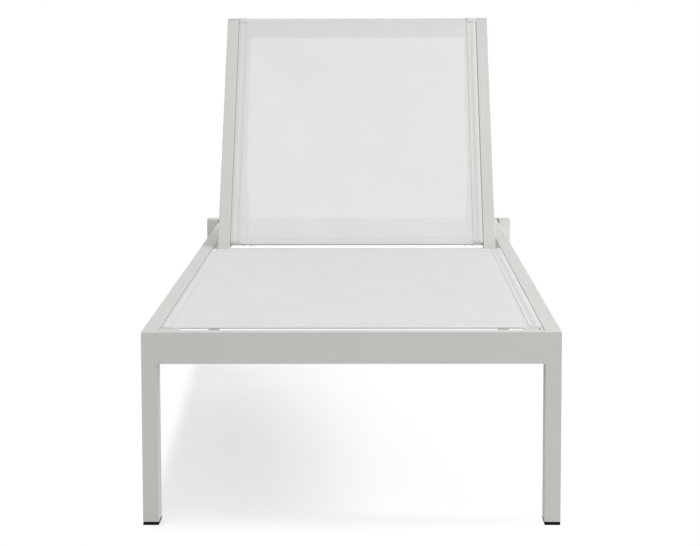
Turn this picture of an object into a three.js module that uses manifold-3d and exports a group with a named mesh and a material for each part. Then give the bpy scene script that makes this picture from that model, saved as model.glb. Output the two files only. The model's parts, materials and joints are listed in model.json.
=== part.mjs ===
// A sling sun lounger with a reclining back, in millimetres, +Z up.
// X runs across the seat, -Y is the foot end and +Y the head end.
// The origin is on the floor under the middle of the lounger.

import * as THREE from "three";
import { mergeVertices } from "three/addons/utils/BufferGeometryUtils.js";
import Module from "manifold-3d";

const wasm = await Module();
wasm.setup();

// Overall sizes
const overallLength = 1960;
const frontWidth = 660;
const headOverhang = 32;
const seatHeight = 308;

// Frame tube, used for the rails, legs and end beams
const tubeThick = 25;
const tubeDeep = 50;
const tubeWall = 2;
const tubeCorner = 1.5;
const weldGap = 0.3;

// Feet and closing plates
const footHeight = 5;
const footStem = 18;
const footCorner = 3;
const plugGap = 0.3;
const plateThick = 2;

// Under braces, square tubes between the side rails
const braceSize = 25;
const braceWall = 1.8;
const braceCorner = 2;
const frontBraceFromFront = 460;
const rearBraceBeforePivot = 150;

// Sling cloth and its edge cords
const clothThick = 1.2;
const clothGap = 0.3;
const clothSideGap = 1.2;
const edgeCordDiameter = 5;
const edgeCordGap = 0.35;

// Seat sling and what carries it
const seatClothDrop = 0.5;
const seatClothFromFront = 50;
const seatClothBeforePivot = 27;
const seatClothSag = 3;
const seatSideBarWidth = 18;
const seatSideBarBraceGap = 1;
const seatSideBarWall = 2;
const seatCrossbarWidth = 25;
const seatCrossbarDrop = 10;
const seatCrossbarWall = 1.8;
const seatCrossbarSetback = 10;
const seatLugFromRail = 71;
const seatLugWidth = 16;
const seatLugHigh = 6;
const seatLugStep = 2;
const seatLugClothGap = 1.2;

// Recline hinge
const reclineAngle = THREE.MathUtils.degToRad(49.4);
const pivotBoltDiameter = 8;
const pivotHeadDiameter = 16;
const pivotHeadThick = 5;
const pivotBushDiameter = 18;
const holeGap = 0.3;
const runGap = 0.1;
const bushEndGap = 0.3;
const headGap = 0.3;
const headOverlap = 1;

// Backrest frame, which just fits between the rails and the head beam when it lies flat
const backSideGap = 11;
const backHeadGap = 20;
const backTubeThick = 25;
const backTubeDeep = 25;
const backTubeWall = 2;
const backTubeCorner = 2;
const backTubeAbovePivot = 635;
const backTubeBelowPivot = 18;
const backPlugThick = 2;
const backPlugStem = 14;
const hingeTubeDiameter = 20;
const hingeTubeWall = 2;
const insertLength = 30;

// Backrest sling and what carries it
const backClothDrop = 1;
const backClothFromPivot = 14;
const backClothSag = 5;
const backSideBarWidth = 24;
const backSideBarDeep = 9;
const backSideBarWall = 1.5;
const backSideBarFromPivot = 16;
const topRodDiameter = 12;
const topRodInset = 1;
const topRodBarGap = 5;
const topRodEndGap = 1.3;
const backCrossbarWidth = 24;
const backCrossbarDeep = 9;
const backCrossbarWall = 1.5;
const backCrossbarInset = 32;
const backCrossbarClothGap = 3;
const bumperLength = 20;
const bumperWidth = 12;
const bumperThick = 1.5;
const bumperInset = 3;

// Stay that props the backrest. Folded flat, its foot lies just short of the back tube's end,
// and its pivot takes a share of the way from the recline pivot to that foot.
const stayEndShort = 11;
const stayPivotShare = 0.481;
const stayPivotBelowMiddle = 5.5;
const stayArmWidth = 18;
const stayArmDeep = 11;
const stayArmWall = 2;
const stayArmInset = 6;
const stayFootDiameter = 10;
const stayGlideDiameter = 12;
const stayGlideLength = 9;
const stayGlideGap = 0.15;
const stayFootEndGap = 1.6;
const stayBoltDiameter = 6;
const stayHeadDiameter = 12;
const stayHeadThick = 1.2;
const staySpacerDiameter = 12;
const stayNutAcross = 10;
const stayNutThick = 5;
const stayBoltOverhang = 2;

// Notched rails that the stay's foot stands on
const rackWidth = 9.7;
const rackHigh = 8.5;
const rackFromBottom = 0.5;
const rackRideGap = 1;
const rackNotchDeep = 4;
const rackNotchGap = 0.4;
const rackEndMargin = 15;
const rackStopsDegrees = [0, 12, 24, 36, THREE.MathUtils.radToDeg(reclineAngle), 60, 70];

// Mesh detail
const cornerSteps = 3;
const circleSteps = 24;
const cordSteps = 10;
const notchSteps = 6;
const clothColumns = 12;
const clothRows = 16;
const wrapSteps = 10;
const hexSides = 6;
const cutOverrun = 4;
const mergeTolerance = 0.0001;

// Places worked out from the sizes
const frontY = -overallLength / 2;
const rearY = overallLength / 2;
const frontHalf = frontWidth / 2;
const rearHalf = frontHalf + headOverhang;
const railInner = frontHalf - tubeThick;
const railBottom = seatHeight - tubeDeep;
const headBeamY = rearY - tubeThick;
const pivotY = headBeamY - backHeadGap - backTubeAbovePivot;
const pivotZ = seatHeight - backTubeDeep / 2;
const backHalf = railInner - backSideGap;
const backInner = backHalf - backTubeThick;
const rackTop = railBottom + rackFromBottom + rackHigh;
const stayFootBelowPivot = pivotZ - rackTop - rackRideGap - stayGlideDiameter / 2;
const stayFoldedReach = backTubeAbovePivot - stayEndShort;
const stayPivotFromPivot = stayPivotShare * stayFoldedReach;
const stayLength = stayFoldedReach - stayPivotFromPivot;

const paint = { color: 0xd3d4cf, roughness: 0.42, metalness: 0.0 };
const cloth = { color: 0xe6e6e4, roughness: 0.75, metalness: 0.0 };
const blackPlastic = { color: 0x17181a, roughness: 0.6, metalness: 0.0 };
const greyPlastic = { color: 0xb9bab6, roughness: 0.55, metalness: 0.0 };
const steel = { color: 0xb8babb, roughness: 0.3, metalness: 1.0 };

const lounger = new THREE.Group();
const backrest = new THREE.Group();
backrest.position.set(0, pivotY, pivotZ);
backrest.rotation.x = reclineAngle;
lounger.add(backrest);

// Solids and outlines

function toSolid(geometry) {
  const bare = geometry.index ? geometry.toNonIndexed() : geometry.clone();
  for (const name of ["normal", "uv"]) bare.deleteAttribute(name);
  const merged = mergeVertices(bare, mergeTolerance);
  return new wasm.Manifold(new wasm.Mesh({
    numProp: 3,
    vertProperties: merged.attributes.position.array,
    triVerts: new Uint32Array(merged.index.array),
  }));
}

function toGeometry(solid) {
  const mesh = solid.getMesh();
  const geometry = new THREE.BufferGeometry();
  geometry.setAttribute("position", new THREE.BufferAttribute(mesh.vertProperties, 3));
  geometry.setIndex(new THREE.BufferAttribute(mesh.triVerts, 1));
  const flat = geometry.toNonIndexed();
  flat.computeVertexNormals();
  return flat;
}

function cut(geometry, ...cutters) {
  const solid = cutters.reduce((kept, cutter) => kept.subtract(toSolid(cutter)), toSolid(geometry));
  return toGeometry(solid);
}

function join(geometry, ...others) {
  const solid = others.reduce((kept, other) => kept.add(toSolid(other)), toSolid(geometry));
  return toGeometry(solid);
}

function toVectors(pairs) {
  return pairs.map(([u, v]) => new THREE.Vector2(u, v));
}

function circlePoints(u, v, radius, steps = circleSteps) {
  const points = [];
  for (let step = 0; step < steps; step += 1) {
    const angle = (2 * Math.PI * step) / steps;
    points.push(new THREE.Vector2(u + radius * Math.cos(angle), v + radius * Math.sin(angle)));
  }
  return points;
}

function boxPoints(u, v, width, height) {
  return [[-1, -1], [1, -1], [1, 1], [-1, 1]].map(
    ([sideU, sideV]) => new THREE.Vector2(u + (sideU * width) / 2, v + (sideV * height) / 2),
  );
}

function roundedPoints(u, v, width, height, radius) {
  const points = [];
  const centres = boxPoints(u, v, width - 2 * radius, height - 2 * radius);
  centres.forEach((centre, corner) => {
    for (let step = 0; step <= cornerSteps; step += 1) {
      const angle = Math.PI * (1 + corner / 2) + (Math.PI * step) / (2 * cornerSteps);
      points.push(new THREE.Vector2(
        centre.x + radius * Math.cos(angle),
        centre.y + radius * Math.sin(angle),
      ));
    }
  });
  return points;
}

// Runs an outline along an axis: (u, v) is (Y, Z) along X, (X, Z) along Y and (X, Y) along Z
function run(points, axis, from, to) {
  const shape = new THREE.Shape(points);
  const geometry = new THREE.ExtrudeGeometry(shape, { depth: to - from, bevelEnabled: false });
  const right = new THREE.Vector3(1, 0, 0);
  const back = new THREE.Vector3(0, 1, 0);
  const up = new THREE.Vector3(0, 0, 1);
  if (axis === "x") {
    geometry.applyMatrix4(new THREE.Matrix4().makeBasis(back, up, right));
    geometry.translate(from, 0, 0);
  } else if (axis === "y") {
    geometry.applyMatrix4(new THREE.Matrix4().makeBasis(right, up, back.clone().negate()));
    geometry.translate(0, to, 0);
  } else {
    geometry.translate(0, 0, from);
  }
  return geometry;
}

// A straight tube, open at both ends
function tube(u, v, section, axis, from, to) {
  const { width, height, wall, corner } = section;
  const outside = run(roundedPoints(u, v, width, height, corner), axis, from, to);
  const bore = run(
    boxPoints(u, v, width - 2 * wall, height - 2 * wall),
    axis, from - cutOverrun, to + cutOverrun,
  );
  return cut(outside, bore);
}

function addPiece(parent, name, geometry, finish) {
  const mesh = new THREE.Mesh(geometry, new THREE.MeshStandardMaterial(finish));
  mesh.name = name;
  parent.add(mesh);
}

// Runs an outline along X between two distances from the middle, on one side
function runSide(side, points, inner, outer) {
  return run(points, "x", Math.min(side * inner, side * outer), Math.max(side * inner, side * outer));
}

const sides = [["left", -1], ["right", 1]];
const frameSection = { width: tubeThick, height: tubeDeep, wall: tubeWall, corner: tubeCorner };
const braceSection = { width: braceSize, height: braceSize, wall: braceWall, corner: braceCorner };
const backSection = {
  width: backTubeThick, height: backTubeDeep, wall: backTubeWall, corner: backTubeCorner,
};

// Side frames: rails and front legs, mitred where they meet

function mitreCutter(side, keepsRail) {
  const shift = weldGap / Math.SQRT2;
  const top = seatHeight + cutOverrun;
  const bottom = railBottom - cutOverrun;
  const front = frontY - cutOverrun;
  const back = frontY + tubeDeep + cutOverrun;
  const points = keepsRail
    ? [[front, bottom], [back, bottom], [back, bottom + shift], [front, top + shift]]
    : [[front, top - shift], [back, bottom - shift], [back, top]];
  return runSide(side, toVectors(points), railInner - cutOverrun, frontHalf + cutOverrun);
}

function addSideFrame(label, side) {
  const middle = side * (frontHalf - tubeThick / 2);
  const rail = tube(
    middle, seatHeight - tubeDeep / 2, frameSection, "y", frontY, headBeamY - weldGap,
  );
  const boltHole = runSide(
    side, circlePoints(pivotY, pivotZ, pivotBoltDiameter / 2 + holeGap),
    railInner - cutOverrun, frontHalf + cutOverrun,
  );
  addPiece(lounger, `side_rail_${label}`, cut(rail, mitreCutter(side, true), boltHole), paint);

  const leg = tube(
    middle, frontY + tubeDeep / 2, frameSection, "z", footHeight + weldGap, seatHeight,
  );
  addPiece(lounger, `front_leg_${label}`, cut(leg, mitreCutter(side, false)), paint);
  addFootCap(`front_foot_cap_${label}`, middle, frontY + tubeDeep / 2);
}

function addFootCap(name, x, y) {
  const shoe = run(roundedPoints(x, y, tubeThick, tubeDeep, footCorner), "z", 0, footHeight);
  const stemWidth = tubeThick - 2 * tubeWall - 2 * plugGap;
  const stemDeep = tubeDeep - 2 * tubeWall - 2 * plugGap;
  const stem = run(
    boxPoints(x, y, stemWidth, stemDeep), "z", footHeight / 2, footHeight + footStem,
  );
  addPiece(lounger, name, join(shoe, stem), blackPlastic);
}

function addRearLeg(label, side) {
  const x = side * (rearHalf - tubeThick / 2);
  const y = rearY - tubeDeep / 2;
  const legTop = seatHeight - plateThick - weldGap;
  const leg = tube(x, y, frameSection, "z", footHeight + weldGap, legTop);
  addPiece(lounger, `rear_leg_${label}`, leg, paint);
  const plate = run(
    roundedPoints(x, y, tubeThick, tubeDeep, tubeCorner),
    "z", seatHeight - plateThick, seatHeight,
  );
  addPiece(lounger, `rear_leg_top_plate_${label}`, plate, paint);
  addFootCap(`rear_foot_cap_${label}`, x, y);
}

function addCrossTubes() {
  const middleZ = seatHeight - tubeDeep / 2;
  const frontReach = railInner - weldGap;
  const frontBeam = tube(
    frontY + tubeThick / 2, middleZ, frameSection, "x", -frontReach, frontReach,
  );
  addPiece(lounger, "front_beam", frontBeam, paint);

  const headReach = rearHalf - tubeThick - weldGap;
  const headBeam = tube(
    headBeamY + tubeThick / 2, middleZ, frameSection, "x", -headReach, headReach,
  );
  addPiece(lounger, "head_beam", headBeam, paint);

  const braces = [["front", frontY + frontBraceFromFront], ["rear", pivotY - rearBraceBeforePivot]];
  for (const [label, y] of braces) {
    const brace = tube(
      y, railBottom + braceSize / 2, braceSection, "x", -frontReach, frontReach,
    );
    addPiece(lounger, `under_brace_${label}`, brace, paint);
  }
}

// A side bar that a sling lies on, with an open channel for the cloth's edge cord.
// Its outline is written from its outer top corner: inward is +u and down is -v.
function sideBar(side, outerX, topZ, section, from, to) {
  const { width, deep, wall } = section;
  const channelWide = edgeCordDiameter + 2 * edgeCordGap;
  const channelDeep = edgeCordDiameter + 2 * edgeCordGap;
  const place = ([inward, down]) => new THREE.Vector2(side * (outerX - inward), topZ - down);
  const outer = [
    [0, channelDeep], [0, deep], [width, deep], [width, 0], [channelWide, 0],
    [channelWide, channelDeep],
  ];
  const inner = [
    [channelWide + wall, wall], [channelWide + wall, deep - wall],
    [width - wall, deep - wall], [width - wall, wall],
  ];
  const ordered = (points) => (side > 0 ? points.map(place) : points.map(place).reverse());
  return cut(
    run(ordered(outer), "y", from, to),
    run(ordered(inner), "y", from - cutOverrun, to + cutOverrun),
  );
}

function edgeCord(side, outerX, topZ, from, to) {
  const reach = edgeCordGap + edgeCordDiameter / 2;
  const points = circlePoints(side * (outerX - reach), topZ - reach, edgeCordDiameter / 2, cordSteps);
  return run(points, "y", from, to);
}

// A thin closed sheet over a path in the (Y, Z) plane. It lies flat on its side bars,
// which reach in to barInner, and hangs slack by sag at its middle.
function clothSheet(path, halfWidth, barInner, sag) {
  const columns = [-halfWidth];
  for (let column = 0; column <= clothColumns; column += 1) {
    columns.push(barInner * ((2 * column) / clothColumns - 1));
  }
  columns.push(halfWidth);
  const wide = columns.length;
  const rows = path.length;
  const straightRows = path.filter((station) => station.slack).length - 1;
  const positions = [];
  for (const face of [1, -1]) {
    path.forEach((station, row) => {
      const before = path[Math.max(row - 1, 0)];
      const after = path[Math.min(row + 1, rows - 1)];
      const along = new THREE.Vector2(after.y - before.y, after.z - before.z).normalize();
      const slackRow = station.slack ? Math.sin((Math.PI * row) / straightRows) : 0;
      for (const x of columns) {
        const across = Math.min(Math.abs(x) / barInner, 1);
        const lift = (face * clothThick) / 2 - sag * slackRow * (1 - across * across);
        positions.push(x, station.y - along.y * lift, station.z + along.x * lift);
      }
    });
  }
  const at = (face, row, column) => (face * rows + row) * wide + column;
  const triangles = [];
  const quad = (a, b, c, d) => triangles.push(a, b, c, a, c, d);
  for (let row = 0; row < rows - 1; row += 1) {
    for (let column = 0; column < wide - 1; column += 1) {
      quad(at(0, row, column), at(0, row, column + 1), at(0, row + 1, column + 1), at(0, row + 1, column));
      quad(at(1, row, column), at(1, row + 1, column), at(1, row + 1, column + 1), at(1, row, column + 1));
    }
    quad(at(0, row, 0), at(0, row + 1, 0), at(1, row + 1, 0), at(1, row, 0));
    quad(
      at(0, row + 1, wide - 1), at(0, row, wide - 1),
      at(1, row, wide - 1), at(1, row + 1, wide - 1),
    );
  }
  for (let column = 0; column < wide - 1; column += 1) {
    quad(at(0, 0, column + 1), at(0, 0, column), at(1, 0, column), at(1, 0, column + 1));
    quad(
      at(0, rows - 1, column), at(0, rows - 1, column + 1),
      at(1, rows - 1, column + 1), at(1, rows - 1, column),
    );
  }
  const geometry = new THREE.BufferGeometry();
  geometry.setAttribute("position", new THREE.Float32BufferAttribute(positions, 3));
  geometry.setIndex(triangles);
  const flat = geometry.toNonIndexed();
  flat.computeVertexNormals();
  return flat;
}

function straightPath(fromY, toY, z) {
  const path = [];
  for (let row = 0; row <= clothRows; row += 1) {
    path.push({ y: fromY + ((toY - fromY) * row) / clothRows, z, slack: true });
  }
  return path;
}

// Seat: side bars, edge cords, crossbars, lugs and sling

function addSeat() {
  const clothTop = seatHeight - seatClothDrop;
  const barTop = clothTop - clothThick - clothGap;
  const barOuter = railInner - weldGap;
  const barInner = barOuter - seatSideBarWidth;
  const barDeep = barTop - (railBottom + braceSize + seatSideBarBraceGap);
  const clothFront = frontY + seatClothFromFront;
  const clothRear = pivotY - seatClothBeforePivot;
  const beamBack = frontY + tubeThick;
  const crossbarTop = barTop - seatCrossbarDrop;
  const crossbarDeep = barDeep - seatCrossbarDrop;

  for (const [label, side] of sides) {
    const section = { width: seatSideBarWidth, deep: barDeep, wall: seatSideBarWall };
    const bar = sideBar(side, barOuter, barTop, section, beamBack + weldGap, clothRear);
    addPiece(lounger, `seat_side_bar_${label}`, bar, paint);
    const cord = edgeCord(side, barOuter, barTop, clothFront, clothRear);
    addPiece(lounger, `seat_edge_cord_${label}`, cord, greyPlastic);

    const lugCrossbar = clothFront + seatCrossbarSetback + seatCrossbarWidth / 2;
    const lugPoints = [
      [beamBack + weldGap, crossbarTop + weldGap],
      [lugCrossbar, crossbarTop + weldGap],
      [lugCrossbar, crossbarTop + seatLugHigh - seatLugStep],
      [clothFront - seatLugClothGap, crossbarTop + seatLugHigh - seatLugStep],
      [clothFront - seatLugClothGap, crossbarTop + seatLugHigh],
      [beamBack + weldGap, crossbarTop + seatLugHigh],
    ];
    const lugMiddle = railInner - seatLugFromRail;
    const lug = runSide(
      side, toVectors(lugPoints), lugMiddle - seatLugWidth / 2, lugMiddle + seatLugWidth / 2,
    );
    addPiece(lounger, `seat_lug_${label}`, lug, greyPlastic);
  }

  const setback = seatCrossbarSetback + seatCrossbarWidth / 2;
  const crossbarSection = {
    width: seatCrossbarWidth, height: crossbarDeep, wall: seatCrossbarWall, corner: braceCorner,
  };
  for (const [label, y] of [["front", clothFront + setback], ["rear", clothRear - setback]]) {
    const crossbar = tube(
      y, crossbarTop - crossbarDeep / 2, crossbarSection,
      "x", weldGap - barInner, barInner - weldGap,
    );
    addPiece(lounger, `seat_crossbar_${label}`, crossbar, paint);
  }

  const path = straightPath(clothFront, clothRear, clothTop - clothThick / 2);
  const seatCloth = clothSheet(path, railInner - clothSideGap, barInner, seatClothSag);
  addPiece(lounger, "seat_sling", seatCloth, cloth);
}

// Round pieces along X

function disc(side, y, z, diameter, inner, outer) {
  return runSide(side, circlePoints(y, z, diameter / 2), inner, outer);
}

function sleeve(side, y, z, diameter, bore, inner, outer) {
  return cut(
    disc(side, y, z, diameter, inner, outer),
    disc(side, y, z, bore, inner - cutOverrun, outer + cutOverrun),
  );
}

// Recline hinge: bush on the rail, bolt and threaded insert on the backrest

function addHingeSide(label, side) {
  const bush = sleeve(
    side, pivotY, pivotZ, pivotBushDiameter, pivotBoltDiameter + 2 * runGap,
    backHalf + bushEndGap, railInner - bushEndGap,
  );
  addPiece(lounger, `pivot_bush_${label}`, bush, blackPlastic);

  const headInner = frontHalf + headGap;
  const insertOuter = backInner - weldGap;
  const shank = disc(
    side, 0, 0, pivotBoltDiameter, insertOuter - insertLength, headInner + headOverlap,
  );
  const head = disc(side, 0, 0, pivotHeadDiameter, headInner, headInner + pivotHeadThick);
  addPiece(backrest, `pivot_bolt_${label}`, join(shank, head), steel);

  const insert = sleeve(
    side, 0, 0, hingeTubeDiameter - 2 * hingeTubeWall - 2 * plugGap,
    pivotBoltDiameter + 2 * holeGap, insertOuter - insertLength, insertOuter,
  );
  addPiece(backrest, `pivot_insert_${label}`, insert, steel);
}

// Backrest frame, built lying along +Y from the hinge with its face up

function addBackTube(label, side) {
  const middle = side * (backHalf - backTubeThick / 2);
  const backTube = tube(middle, 0, backSection, "y", -backTubeBelowPivot, backTubeAbovePivot);
  const across = [backInner - cutOverrun, backHalf + cutOverrun];
  const pivotHole = disc(side, 0, 0, pivotBoltDiameter + 2 * holeGap, ...across);
  const stayHole = disc(
    side, stayPivotFromPivot, -stayPivotBelowMiddle, stayBoltDiameter + 2 * holeGap, ...across,
  );
  addPiece(backrest, `back_tube_${label}`, cut(backTube, pivotHole, stayHole), paint);

  for (const [end, y, outward] of [
    ["top", backTubeAbovePivot, 1],
    ["bottom", -backTubeBelowPivot, -1],
  ]) {
    const cap = [y + outward * plugGap, y + outward * (plugGap + backPlugThick)];
    const stem = [y - outward * backPlugStem, y + outward * (plugGap + backPlugThick / 2)];
    const stemSize = backTubeThick - 2 * backTubeWall - 2 * plugGap;
    const stemDeep = backTubeDeep - 2 * backTubeWall - 2 * plugGap;
    const plug = join(
      run(
        roundedPoints(middle, 0, backTubeThick, backTubeDeep, backTubeCorner),
        "y", Math.min(...cap), Math.max(...cap),
      ),
      run(boxPoints(middle, 0, stemSize, stemDeep), "y", Math.min(...stem), Math.max(...stem)),
    );
    addPiece(backrest, `back_plug_${end}_${label}`, plug, greyPlastic);
  }

  const bumperEnd = backTubeAbovePivot - bumperInset;
  const bumper = run(
    boxPoints(middle, bumperEnd - bumperLength / 2, bumperWidth, bumperLength),
    "z", -backTubeDeep / 2 - weldGap - bumperThick, -backTubeDeep / 2 - weldGap,
  );
  addPiece(backrest, `back_bumper_${label}`, bumper, blackPlastic);
}

function addBackSling() {
  const clothTop = backTubeDeep / 2 - backClothDrop;
  const barTop = clothTop - clothThick - clothGap;
  const barOuter = backInner - weldGap;
  const barInner = barOuter - backSideBarWidth;
  const rodRadius = topRodDiameter / 2;
  const rodMiddle = barTop - rodRadius;
  const rodY = backTubeAbovePivot - topRodInset;
  const wrapRadius = rodRadius + clothGap + clothThick / 2;
  const barEnd = rodY - wrapRadius - topRodBarGap;

  for (const [label, side] of sides) {
    const section = { width: backSideBarWidth, deep: backSideBarDeep, wall: backSideBarWall };
    const bar = sideBar(side, barOuter, barTop, section, backSideBarFromPivot, barEnd);
    addPiece(backrest, `back_side_bar_${label}`, bar, paint);
    const cord = edgeCord(side, barOuter, barTop, backSideBarFromPivot, barEnd);
    addPiece(backrest, `back_edge_cord_${label}`, cord, greyPlastic);
  }

  const crossbarSection = {
    width: backCrossbarWidth, height: backCrossbarDeep, wall: backCrossbarWall, corner: braceCorner,
  };
  const crossbar = tube(
    backTubeAbovePivot - backCrossbarInset,
    clothTop - clothThick - backCrossbarClothGap - backCrossbarDeep / 2,
    crossbarSection, "x", weldGap - barInner, barInner - weldGap,
  );
  addPiece(backrest, "back_crossbar", crossbar, paint);

  const rodReach = backInner - topRodEndGap;
  const rod = run(circlePoints(rodY, rodMiddle, rodRadius), "x", -rodReach, rodReach);
  addPiece(backrest, "back_top_rod", rod, paint);

  const path = straightPath(backClothFromPivot, rodY, clothTop - clothThick / 2);
  for (let step = 1; step <= wrapSteps; step += 1) {
    const angle = Math.PI / 2 - (Math.PI * step) / wrapSteps;
    path.push({
      y: rodY + wrapRadius * Math.cos(angle),
      z: rodMiddle + wrapRadius * Math.sin(angle),
      slack: false,
    });
  }
  const backCloth = clothSheet(path, backInner - clothSideGap, barInner, backClothSag);
  addPiece(backrest, "back_sling", backCloth, cloth);
}

function addHingeTube() {
  const reach = backInner - weldGap;
  const bore = hingeTubeDiameter - 2 * hingeTubeWall;
  addPiece(backrest, "hinge_tube", sleeve(1, 0, 0, hingeTubeDiameter, bore, -reach, reach), paint);
}

// Stay: two arms on bolts in the backrest, welded to a foot bar that stands on the racks

function stayAngleAt(recline) {
  const pivotRise = stayPivotFromPivot * Math.sin(recline) - stayPivotBelowMiddle * Math.cos(recline);
  return Math.asin((pivotRise + stayFootBelowPivot) / stayLength);
}

function footFromPivot(recline) {
  const pivotReach = stayPivotFromPivot * Math.cos(recline) + stayPivotBelowMiddle * Math.sin(recline);
  return pivotReach + stayLength * Math.cos(stayAngleAt(recline));
}

function addStay() {
  const armOuter = backInner - stayArmInset;
  const armInner = armOuter - stayArmWidth;
  const boltHole = stayBoltDiameter + 2 * holeGap;
  const stay = new THREE.Group();
  stay.position.set(0, stayPivotFromPivot, -stayPivotBelowMiddle);
  stay.rotation.x = -(reclineAngle + stayAngleAt(reclineAngle));
  backrest.add(stay);

  for (const [label, side] of sides) {
    const middle = side * (armInner + armOuter) / 2;
    const boltAt = [stayPivotFromPivot, -stayPivotBelowMiddle];
    const headInner = backHalf + headGap;
    const nutOuter = armInner - bushEndGap;
    const shank = disc(
      side, ...boltAt, stayBoltDiameter, nutOuter - stayNutThick - stayBoltOverhang,
      headInner + headOverlap,
    );
    const head = disc(side, ...boltAt, stayHeadDiameter, headInner, headInner + stayHeadThick);
    addPiece(backrest, `stay_bolt_${label}`, join(shank, head), steel);

    const spacer = sleeve(
      side, ...boltAt, staySpacerDiameter, boltHole, armOuter + bushEndGap, backInner - bushEndGap,
    );
    addPiece(backrest, `stay_spacer_${label}`, spacer, greyPlastic);

    const nutRadius = stayNutAcross / Math.sqrt(3);
    const nutInner = nutOuter - stayNutThick;
    const nut = cut(
      runSide(side, circlePoints(...boltAt, nutRadius, hexSides), nutInner, nutOuter),
      disc(side, ...boltAt, boltHole, nutInner - cutOverrun, nutOuter + cutOverrun),
    );
    addPiece(backrest, `stay_nut_${label}`, nut, steel);

    const endRadius = stayArmDeep / 2;
    const arm = run(boxPoints(middle, 0, stayArmWidth, stayArmDeep), "y", 0, stayLength);
    const hollow = run(
      boxPoints(middle, 0, stayArmWidth - 2 * stayArmWall, stayArmDeep - 2 * stayArmWall),
      "y", endRadius + stayArmWall, stayLength + cutOverrun,
    );
    const eye = disc(side, 0, 0, stayArmDeep, armInner, armOuter);
    const eyeHole = disc(
      side, 0, 0, stayBoltDiameter + 2 * runGap, armInner - cutOverrun, armOuter + cutOverrun,
    );
    const saddle = disc(
      side, stayLength, 0, stayFootDiameter + 2 * weldGap,
      armInner - cutOverrun, armOuter + cutOverrun,
    );
    const pastFoot = run(
      boxPoints(middle, 0, stayArmWidth + cutOverrun, stayArmDeep + cutOverrun),
      "y", stayLength, stayLength + cutOverrun,
    );
    addPiece(stay, `stay_arm_${label}`, cut(join(arm, eye), hollow, eyeHole, saddle, pastFoot), paint);

    const glideOuter = railInner - stayFootEndGap;
    const glide = sleeve(
      side, stayLength, 0, stayGlideDiameter, stayFootDiameter + 2 * stayGlideGap,
      glideOuter - stayGlideLength, glideOuter,
    );
    addPiece(stay, `stay_glide_${label}`, glide, blackPlastic);
  }

  const reach = railInner - stayFootEndGap;
  const foot = run(circlePoints(stayLength, 0, stayFootDiameter / 2), "x", -reach, reach);
  addPiece(stay, "stay_foot_bar", foot, paint);
}

// Racks: notched bars on the rails, with one notch for each recline stop

function addRack(label, side) {
  const notchRadius = stayGlideDiameter / 2 + rackNotchGap;
  const notchLift = notchRadius - rackNotchDeep;
  const edgeAngle = Math.asin(notchLift / notchRadius);
  const stops = rackStopsDegrees.map(
    (degrees) => pivotY + footFromPivot(THREE.MathUtils.degToRad(degrees)),
  );
  const start = Math.min(...stops) - rackEndMargin;
  const end = Math.max(...stops) + rackEndMargin;
  const bottom = railBottom + rackFromBottom;
  const points = [[start, bottom], [end, bottom], [end, rackTop]];
  for (const y of stops) {
    for (let step = 0; step <= notchSteps; step += 1) {
      const angle = -edgeAngle - ((Math.PI - 2 * edgeAngle) * step) / notchSteps;
      points.push([
        y + notchRadius * Math.cos(angle),
        rackTop + notchLift + notchRadius * Math.sin(angle),
      ]);
    }
  }
  points.push([start, rackTop]);
  const rack = runSide(
    side, toVectors(points), railInner - weldGap - rackWidth, railInner - weldGap,
  );
  addPiece(lounger, `stay_rack_${label}`, rack, paint);
}

for (const [label, side] of sides) {
  addSideFrame(label, side);
  addRearLeg(label, side);
  addHingeSide(label, side);
  addBackTube(label, side);
  addRack(label, side);
}
addCrossTubes();
addSeat();
addHingeTube();
addBackSling();
addStay();

export default lounger;
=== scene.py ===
"""Looks for a sling sun lounger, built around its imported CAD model. Metres, +Z up, foot end at -Y."""

import json
import math

import bmesh
import bpy
from mathutils import Matrix, Vector


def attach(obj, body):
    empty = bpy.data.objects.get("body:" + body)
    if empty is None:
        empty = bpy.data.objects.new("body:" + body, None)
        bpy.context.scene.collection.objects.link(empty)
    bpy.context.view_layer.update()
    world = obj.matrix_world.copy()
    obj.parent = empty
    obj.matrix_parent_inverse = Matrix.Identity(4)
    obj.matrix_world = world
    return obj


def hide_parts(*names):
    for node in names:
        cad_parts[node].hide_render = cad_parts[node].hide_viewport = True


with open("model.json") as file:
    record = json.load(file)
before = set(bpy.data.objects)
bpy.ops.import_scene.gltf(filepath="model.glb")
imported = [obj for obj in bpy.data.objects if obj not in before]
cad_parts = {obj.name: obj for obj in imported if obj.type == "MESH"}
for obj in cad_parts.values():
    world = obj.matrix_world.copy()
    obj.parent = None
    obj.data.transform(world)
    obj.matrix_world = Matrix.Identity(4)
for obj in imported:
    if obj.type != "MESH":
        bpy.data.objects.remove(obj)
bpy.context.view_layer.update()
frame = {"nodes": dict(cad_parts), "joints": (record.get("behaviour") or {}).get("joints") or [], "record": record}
SIDES = (("left", -1), ("right", 1))
X_AXIS = Vector((1, 0, 0))

# Camera, fitted to the photograph
CAMERA_PLACE = (0.0326, -4.5421, 0.8169)
CAMERA_PITCH = math.radians(6.65)
CAMERA_YAW = math.radians(0.552)
CAMERA_ROLL = math.radians(-0.117)
CAMERA_LENS_MM = 118.1
CAMERA_REACH = 200

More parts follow.
